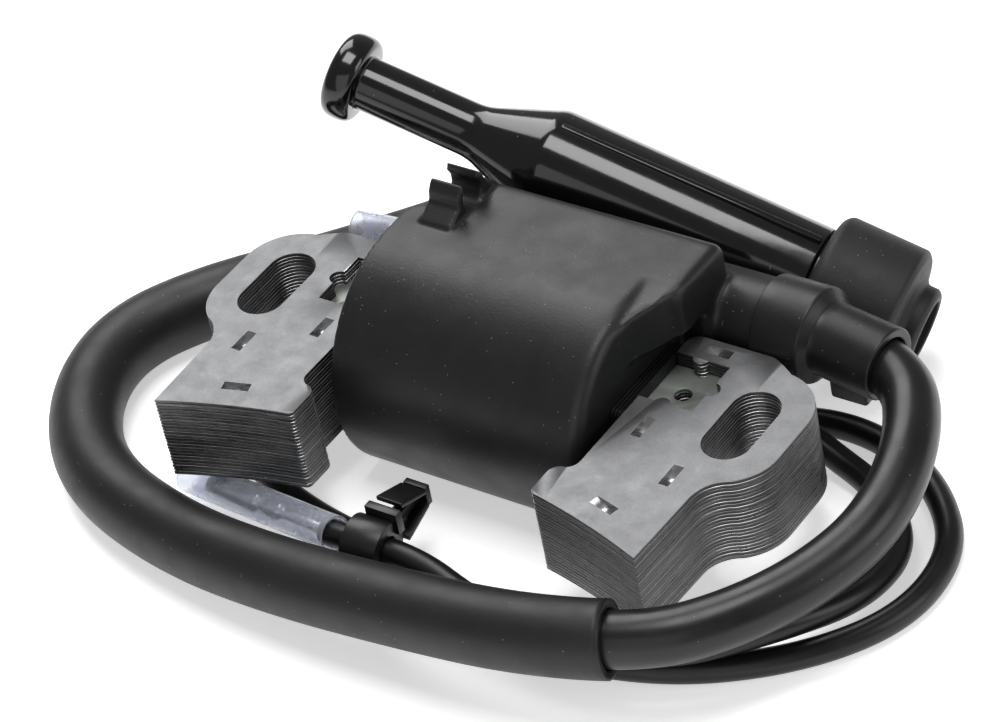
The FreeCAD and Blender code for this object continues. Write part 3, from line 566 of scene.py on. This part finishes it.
def soft_line(corners, steps=6):
    """Corners (along, radius, rounding) as points, each corner rounded by its own amount."""
    points = []
    for i, (along, radius, rounding) in enumerate(corners):
        here = Vector((along, radius))
        if not rounding or i in (0, len(corners) - 1):
            points.append(here)
            continue
        before = Vector(corners[i - 1][:2])
        after = Vector(corners[i + 1][:2])
        start = here + (before - here).normalized() * min(rounding, (before - here).length * 0.5)
        end = here + (after - here).normalized() * min(rounding, (after - here).length * 0.5)
        for k in range(steps + 1):
            t = k / steps
            points.append(start * (1 - t) ** 2 + here * (2 * t * (1 - t)) + end * t ** 2)
    return points


def straight(start, way):
    """Frames along a straight axis: a centre and two side vectors for a place along it."""
    side = way.orthogonal().normalized()
    up = way.cross(side)
    return lambda along: (Vector(start) + way * along, side, up)


def bent(start, first, second, bend_from, bend_to):
    """Frames along an axis that turns smoothly from one way to another."""
    step, steps = 0.1, 600
    centres, ways = [Vector(start)], [first.copy()]
    for i in range(steps):
        t = min(max((i * step - bend_from) / (bend_to - bend_from), 0.0), 1.0)
        way = first.lerp(second, t * t * (3 - 2 * t)).normalized()
        centres.append(centres[-1] + way * step)
        ways.append(way)

    def frame_at(along):
        """The centre and side vectors at a place along the axis."""
        i = min(max(int(along / step), 0), len(ways) - 1)
        way = ways[i]
        side = way.cross(Vector((0, 0, 1))).normalized()
        return centres[i] + way * (along - i * step), side, way.cross(side)

    return frame_at


POINT_RADIUS = 1e-6


def revolve(bm, corners, frame_at, around=64):
    """A surface of revolution, or of rings along a bent axis, from a rounded outline."""
    rings = []
    for along, radius in soft_line(corners):
        centre, side, up = frame_at(along)
        if radius < POINT_RADIUS:
            rings.append([bm.verts.new(centre * MM)])
            continue
        ring = []
        for k in range(around):
            angle = 2 * math.pi * k / around
            out = side * math.cos(angle) + up * math.sin(angle)
            ring.append(bm.verts.new((centre + out * radius) * MM))
        rings.append(ring)
    made = []
    for a, b in zip(rings, rings[1:]):
        for k in range(around):
            quad = [a[k % len(a)], a[(k + 1) % len(a)], b[(k + 1) % len(b)], b[k % len(b)]]
            corners_left = list(dict.fromkeys(quad))
            if len(corners_left) > 2:
                made.append(bm.faces.new(corners_left))
    bmesh.ops.recalc_face_normals(bm, faces=made)


def block(bm, low, high, turn=None, rounding=0.2):
    """A box with rounded edges, in millimetres, turned by a matrix if one is given."""
    size = [b - a for a, b in zip(low, high)]
    middle = [(a + b) / 2 for a, b in zip(low, high)]
    place = (turn or Matrix()) @ Matrix.Translation(middle) @ Matrix.Diagonal((*size, 1.0))
    made = bmesh.ops.create_cube(bm, size=1.0, matrix=Matrix.Diagonal((MM, MM, MM, 1.0)) @ place)
    edges = list({e for v in made["verts"] for e in v.link_edges})
    bmesh.ops.bevel(bm, geom=edges, offset=rounding * MM, segments=3, affect="EDGES", profile=0.5)


# ------------------------------------------------------------------ laminated core
SHEET_EDGE, SHEET_BURR_AND_HIGHLIGHT, GROOVE, SHEET_TOP = range(4)
CORE_MATERIALS = (CORE_EDGE, CORE_BARE_AND_PAINTED_HIGHLIGHT, CORE_GROOVE, CORE_TOP)
CORE_BOTTOM = 0.0
# One sheet's edge in millimetres. IN is how far it is cut back, and UP how far above the sheet's bottom.
RIM_IN = 0.06
BURR_DOWN = 0.055
ROUND_IN = 0.09
TORN_UP, TORN_IN = 0.13, 0.02
LIP_UP = 0.09
GROOVE_UP, GROOVE_IN = 0.08, 0.30
SHEET_SHIFT = 0.05
SAME_LEVEL = 0.01 * MM


def loops_of(edges):
    """The closed rings of vertices that some boundary edges make."""
    joined = {}
    for edge in edges:
        a, b = edge.verts
        joined.setdefault(a, []).append(b)
        joined.setdefault(b, []).append(a)
    left = set(joined)
    found = []
    while left:
        ring = [min(left, key=lambda v: (v.co.x, v.co.y))]
        left.discard(ring[0])
        while True:
            ahead = [v for v in joined[ring[-1]] if v in left]
            if not ahead:
                break
            ring.append(ahead[0])
            left.discard(ahead[0])
        found.append(ring)
    return found


def area_of(ring):
    """A ring's signed area in plan: positive if it runs anticlockwise."""
    return sum(a.co.x * b.co.y - b.co.x * a.co.y for a, b in zip(ring, ring[1:] + ring[:1])) / 2


def outward_of(ring, sense):
    """At each vertex of a ring, the way out of the metal, longer at a corner so the edges stay even."""
    outward = []
    count = len(ring)
    for i in range(count):
        here, before, after = ring[i].co, ring[i - 1].co, ring[(i + 1) % count].co
        first, second = (here - before).normalized(), (after - here).normalized()
        normal = Vector((first.y + second.y, -first.x - second.x, 0)).normalized() * sense
        flat = Vector((first.y, -first.x, 0)) * sense
        outward.append(normal / max(normal.dot(flat), 0.5))
    return outward


def sheet_profile(upper, lower, shift, first, last):
    """One sheet's edge from its top down, as (height, how far cut back, material)."""
    profile = [] if first else [(upper, ROUND_IN + shift, GROOVE)]
    # The burr band under each sheet's top takes the lighter metal: partly bare metal, partly a painted
    # highlight.
    profile.append((upper - BURR_DOWN * MM, shift, SHEET_BURR_AND_HIGHLIGHT))
    profile.append((lower + TORN_UP * MM, shift + TORN_IN, SHEET_EDGE))
    if last:
        profile.append((lower, 0.0, SHEET_EDGE))
        return profile
    profile.append((lower + LIP_UP * MM, ROUND_IN + shift, SHEET_EDGE))
    profile.append((lower + GROOVE_UP * MM, GROOVE_IN, GROOVE))
    profile.append((lower, GROOVE_IN, GROOVE))
    return profile


def stacked(name, node_name, sheets, stakes=()):
    """A leg or bar as its stack of sheets: grooves between them and a burr on each edge. The burr band and
    the stake walls take a lighter metal, partly bare cut metal and partly a painted highlight.

    Its plan is the underside of the CAD node. Each stake is (x, y, angle) in millimetres.
    """
    bm = welded(node_name)
    top = max(v.co.z for v in bm.verts)
    raised = [f for f in bm.faces if max(v.co.z for v in f.verts) > CORE_BOTTOM + SAME_LEVEL]
    bmesh.ops.delete(bm, geom=raised, context="FACES")
    copied = bmesh.ops.duplicate(bm, geom=bm.verts[:] + bm.edges[:] + bm.faces[:])
    upper_verts = [item for item in copied["geom"] if isinstance(item, bmesh.types.BMVert)]
    for vertex in upper_verts:
        vertex.co.z = top
    for face in bm.faces:
        face.material_index = SHEET_TOP
    border = [e for e in bm.edges if len(e.link_faces) == 1 and e.verts[0].co.z > top - SAME_LEVEL]
    rings = loops_of(border)
    outer_ring = max(rings, key=lambda ring: abs(area_of(ring)))
    for ring in rings:
        sense = 1 if area_of(ring) > 0 else -1
        if ring is not outer_ring:
            sense = -sense
        outward = outward_of(ring, sense)
        bases = [v.co.copy() for v in ring]
        for vertex, away in zip(ring, outward):
            vertex.co -= away * RIM_IN * MM
        rows = [ring]
        kinds = []
        for sheet in range(sheets):
            shift = rng.uniform(0.0, SHEET_SHIFT)
            last = sheet == sheets - 1
            upper = top - sheet * (top - CORE_BOTTOM) / sheets
            lower = CORE_BOTTOM if last else top - (sheet + 1) * (top - CORE_BOTTOM) / sheets
            for z, inset, kind in sheet_profile(upper, lower, shift, sheet == 0, last):
                row = [bm.verts.new(Vector((p.x, p.y, z)) - Vector((n.x, n.y, 0)) * inset * MM)
                       for p, n in zip(bases, outward)]
                rows.append(row)
                kinds.append(kind)
        for upper_row, lower_row, kind in zip(rows, rows[1:], kinds):
            for i in range(len(ring)):
                j = (i + 1) % len(ring)
                face = bm.faces.new((upper_row[i], upper_row[j], lower_row[j], lower_row[i]))
                face.material_index = kind
    bmesh.ops.remove_doubles(bm, verts=bm.verts, dist=WELD)
    bmesh.ops.recalc_face_normals(bm, faces=bm.faces)
    if stakes:
        bm = lanced(bm, top, stakes)
    finished(name, bm, CORE_MATERIALS, [node_name], sharp=24.0, level_faces=True)


def lanced(bm, top, stakes):
    """Cut the V-shaped stakes that lock the sheets together into the top of a stack."""
    half, wide, deep, brim, above = 2.1, 0.8, 0.85, -0.05, 0.2
    outline = [(-half, above), (-half, brim), (-0.35, -deep), (0.25, -deep), (half, brim), (half, above)]
    cutter = bmesh.new()
    for x, y, degrees in stakes:
        spin = Matrix.Rotation(math.radians(degrees), 4, "Z")
        place = Matrix.Translation(at(x, y, 0) + Vector((0, 0, top))) @ spin
        sides = [[cutter.verts.new(place @ at(u, side, v)) for u, v in outline] for side in (-wide, wide)]
        cutter.faces.new(sides[0])
        cutter.faces.new(sides[1][::-1])
        for i in range(len(outline)):
            j = (i + 1) % len(outline)
            cutter.faces.new((sides[0][j], sides[0][i], sides[1][i], sides[1][j]))
    bmesh.ops.recalc_face_normals(cutter, faces=cutter.faces)
    objects = []
    # The stake walls take the lighter metal, which is partly a painted highlight.
    for part, materials in ((bm, CORE_MATERIALS), (cutter, (CORE_BARE_AND_PAINTED_HIGHLIGHT,) * len(CORE_MATERIALS))):
        mesh = bpy.data.meshes.new("lancing")
        part.to_mesh(mesh)
        part.free()
        for material in materials:
            mesh.materials.append(material)
        objects.append(bpy.data.objects.new("lancing", mesh))
        bpy.context.scene.collection.objects.link(objects[-1])
    cut = objects[0].modifiers.new("cut", "BOOLEAN")
    cut.operation = "DIFFERENCE"
    cut.solver = "EXACT"
    cut.object = objects[1]
    bpy.context.view_layer.update()
    result = bmesh.new()
    mesh = bpy.data.meshes.new_from_object(objects[0].evaluated_get(bpy.context.evaluated_depsgraph_get()))
    result.from_mesh(mesh)
    for item in objects:
        bpy.data.objects.remove(item)
    return result


LEG_STAKES = ((27.6, -5.7, 90), (36.6, -12.7, 90), (31.4, -21.5, -15), (28.9, 12.1, 0))
LEG_SHEETS, BAR_SHEETS = 24, 19
mirrored_stakes = [(-x, y, 180 - degrees) for x, y, degrees in LEG_STAKES]
stacked("left_leg_sheets", "left_core_leg", LEG_SHEETS, mirrored_stakes)
stacked("right_leg_sheets", "right_core_leg", LEG_SHEETS, LEG_STAKES)
stacked("bar_sheets", "core_bar", BAR_SHEETS)

strip = welded("earth_strip")
soften(strip, 0.08)
finished("earth_tab", strip, (STRIP,), ["earth_strip"])


# ------------------------------------------------------------------ housing
def through_modifier(mesh, kind, groups=(), **settings):
    """A mesh with one modifier applied. groups are (name, function from a vertex to its weight)."""
    carrier = bpy.data.objects.new("carrier", mesh)
    bpy.context.scene.collection.objects.link(carrier)
    for group_name, weight_of in groups:
        group = carrier.vertex_groups.new(name=group_name)
        for vertex in mesh.vertices:
            group.add([vertex.index], weight_of(vertex.co / MM), "REPLACE")
    modifier = carrier.modifiers.new(kind.lower(), kind)
    for key, value in settings.items():
        setattr(modifier, key, value)
    bpy.context.view_layer.update()
    result = bpy.data.meshes.new_from_object(carrier.evaluated_get(bpy.context.evaluated_depsgraph_get()))
    bpy.data.objects.remove(carrier)
    return result


def softness(place):
    """How much the housing's corners are eased: little at the hook and at the open left end."""
    hook_above, hook_left_of, open_end = 26.0, -10.0, -18.5
    if place.z > hook_above and place.x < hook_left_of:
        return 0.12
    return 0.25 if place.x < open_end else 1.0


def moulded_housing():
    """The housing's CAD surface remeshed finely and eased, so every corner is a soft fillet.

    A wedge fills the corner between the end wall and the tower's root with a sweeping curve.
    """
    bm = welded("coil_housing")
    voxel, passes = 0.32, 22
    wedge_floor, root_roof, edge_from = 17.8, 25.9, 5.0
    wedge = [(18.0, -1.5), (20.9, -1.5), (22.0, 2.5), (24.0, 6.6), (25.6, 11.0), (25.6, 13.0), (18.0, 13.0)]
    base = [bm.verts.new(at(x, y, wedge_floor)) for x, y in wedge]
    roof = []
    for x, y in wedge:
        height = root_roof if y > edge_from else 25.4 - 0.035 * (5.3 - y) ** 2
        roof.append(bm.verts.new(at(x, y, height)))
    bm.faces.new(base[::-1])
    bm.faces.new(roof)
    for i in range(len(wedge)):
        j = (i + 1) % len(wedge)
        bm.faces.new((base[i], base[j], roof[j], roof[i]))
    mesh = bpy.data.meshes.new("housing_rough")
    bm.to_mesh(mesh)
    bm.free()
    mesh = through_modifier(mesh, "REMESH", mode="VOXEL", voxel_size=voxel * MM)
    mesh = through_modifier(mesh, "SMOOTH", [("ease", softness)], factor=0.5, iterations=passes,
                            vertex_group="ease")
    bm = bmesh.new()
    bm.from_mesh(mesh)
    finished("housing_shell", bm, (HOUSING,), ["coil_housing"], sharp=60.0)


moulded_housing()

# ------------------------------------------------------------------ tower boot
ALONG_X = Vector((1, 0, 0))
DROOP, SIDEWAYS = math.radians(4.1), math.radians(5.6)
NOZZLE_WAY = Vector((math.cos(DROOP) * math.cos(SIDEWAYS), -math.sin(SIDEWAYS), -math.sin(DROOP)))
COLLAR_FROM, COLLAR_LONG, NOZZLE_LONG = 32.2, 8.5, 10.7
BOOT_LONG = COLLAR_LONG + NOZZLE_LONG
boot = bmesh.new()
revolve(boot, [(0.0, 6.2, 0), (0.0, 7.05, 0.3), (COLLAR_LONG - 0.6, 7.1, 0.35), (COLLAR_LONG + 0.5, 5.6, 0.2),
               (COLLAR_LONG + 1.4, 5.45, 0.6), (BOOT_LONG, 5.4, 0.4), (BOOT_LONG, 4.05, 0.3),
               (BOOT_LONG - 3.0, 4.02, 0)],
        bent((COLLAR_FROM, *TOWER), ALONG_X, NOZZLE_WAY, COLLAR_LONG - 3.0, COLLAR_LONG + 2.0))
PULL_TAB_LOW, PULL_TAB_HIGH = (41.4, 19.4, 4.1), (47.4, 22.4, 8.7)
block(boot, PULL_TAB_LOW, PULL_TAB_HIGH, rounding=0.6)
finished("tower_boot_rubber", boot, (BOOT_RUBBER,), ["tower_boot"], sharp=50.0)

# ------------------------------------------------------------------ plug cap
# Radii in millimetres, and places along the cap's axis.
WIDE, STEM, BULB, CAP_BORE, SPIGOT = 8.5, 4.1, 6.7, 5.6, 7.6
BULB_FROM, BULB_TO, CONE_FROM, CONE_TO, BORE_FROM, STEP_AT, BODY_END = -1.7, 3.1, 21.6, 33.2, 48.0, 76.0, 87.2
SOCKET, SOCKET_BORE, SOCKET_FROM, SOCKET_FLOOR, SOCKET_TO = 6.3, 4.15, 2.0, 6.7, 13.5
RIB_FROM, RIB_TO, RIB_HALF = 34.2, 75.6, 0.5
cap = bmesh.new()
revolve(cap, [(BULB_FROM, 0, 0), (BULB_FROM, BULB, 2.2), (BULB_TO, BULB, 2.2), (BULB_TO, STEM, 0.35),
              (CONE_FROM, STEM, 1.6), (CONE_TO, WIDE, 0.9), (STEP_AT, WIDE - 0.35, 0.25),
              (STEP_AT + 0.2, SPIGOT, 0.1), (BODY_END, SPIGOT, 0.2), (BODY_END, CAP_BORE, 0.2),
              (BORE_FROM, CAP_BORE, 0.2), (BORE_FROM, 0, 0)],
        straight(CAP_START, CAP_WAY), around=96)
revolve(cap, [(SOCKET_FROM, 0, 0), (SOCKET_FROM, SOCKET, 0.2), (SOCKET_TO, SOCKET, 0.4),
              (SOCKET_TO, SOCKET_BORE, 0.3), (SOCKET_FLOOR, SOCKET_BORE, 0.2), (SOCKET_FLOOR, 0, 0)],
        straight(branch_root, BRANCH_WAY))
cap_turn = Matrix.Translation(CAP_START) @ ALONG_X.rotation_difference(CAP_WAY).to_matrix().to_4x4()
rib_low, rib_high = (RIB_FROM, -RIB_HALF, WIDE - 0.6), (RIB_TO, RIB_HALF, WIDE + 0.25)
block(cap, rib_low, rib_high, cap_turn, 0.22)
finished("cap_moulding", cap, (CAP_PLASTIC,), ["cap_body", "cap_barrel", "cap_rib"], sharp=55.0)

PLUG_BOOT_FROM, PLUG_BOOT_BORE, MOUTH_BORE, MOUTH_FROM, MOUTH_TO = 76.8, 7.68, 4.5, 10.5, 17.0
plug_boot = bmesh.new()
revolve(plug_boot, [(0.3, PLUG_BOOT_BORE, 0), (0.0, 9.9, 0.3), (0.9, 10.85, 0.6), (12.8, 10.7, 0.4),
                    (13.5, 9.9, 0.3), (14.1, 7.2, 0.4), (14.7, 6.2, 0.4), (16.4, 6.2, 0.4),
                    (MOUTH_TO, 5.5, 0.3), (MOUTH_TO, MOUTH_BORE, 0.3), (MOUTH_FROM, MOUTH_BORE, 0.2),
                    (MOUTH_FROM, PLUG_BOOT_BORE, 0), (0.3, PLUG_BOOT_BORE, 0)],
        straight(on_cap(PLUG_BOOT_FROM), CAP_WAY), around=80)
finished("plug_boot_rubber", plug_boot, (MATT_RUBBER,), ["plug_boot"], "boot", sharp=50.0)

# ------------------------------------------------------------------ small pieces close to their CAD shape
for node_name, material, slot, body, width in (
        ("cap_lead_boot", BOOT_RUBBER, "rubber", "coil", 0.3),
        ("outer_grommet", BOOT_RUBBER, "housing", "coil", 0.1),
        ("inner_grommet", BOOT_RUBBER, "housing", "coil", 0.1),
        ("front_bullet_socket", TIN, "metal", "coil", 0.06),
        ("rear_bullet_socket", TIN, "metal", "coil", 0.06),
        ("clip_ring", CLIP_PLASTIC, "clip", "clip", 0.18),
        ("clip_barb_upper", CLIP_PLASTIC, "clip", "upper_barb", 0.1),
        ("clip_barb_lower", CLIP_PLASTIC, "clip", "lower_barb", 0.1)):
    bm = welded(node_name)
    soften(bm, width)
    finished(node_name + "_look", bm, (material,), [node_name], body, sharp=36.0)

# ------------------------------------------------------------------ clear sleeves over the sockets
SLEEVE_LONG, NECK_BORE, TUBE_BORE, OVER_WIRE = 33.4, 2.4, 2.2, 1.6
for node_name, neck, way, body in (("front_socket_sleeve", FRONT_NECK, FRONT_WAY, "coil"),
                                   ("rear_socket_sleeve", REAR_NECK, REAR_WAY, "rear_sleeve")):
    tube = bmesh.new()
    revolve(tube, [(0.0, NECK_BORE, 0), (0.0, 2.68, 0.1), (4.0, 2.6, 1.0), (9.0, 2.62, 2.0),
                   (SLEEVE_LONG, 2.58, 0.12), (SLEEVE_LONG, TUBE_BORE, 0.12), (6.0, TUBE_BORE, 0.5),
                   (1.0, NECK_BORE, 0.3), (0.0, NECK_BORE, 0)],
            straight(neck - way * OVER_WIRE, way), around=48)
    finished(node_name + "_look", tube, (VINYL,), [node_name], body, sharp=50.0)

# ------------------------------------------------------------------ CAD nodes that stay as they are
FINISH = {
    "primary_winding": COPPER, "secondary_winding": COPPER, "plug_terminal_clip": TIN, "cap_spring": TIN,
    "cap_link_pin": TIN, "cap_lead_screw": TIN, "tower_spike": TIN, "secondary_lug": CRIMP,
}
for name, node in NODES.items():
    node.data.materials.clear()
    node.data.materials.append(FINISH.get(name, BOOT_RUBBER))
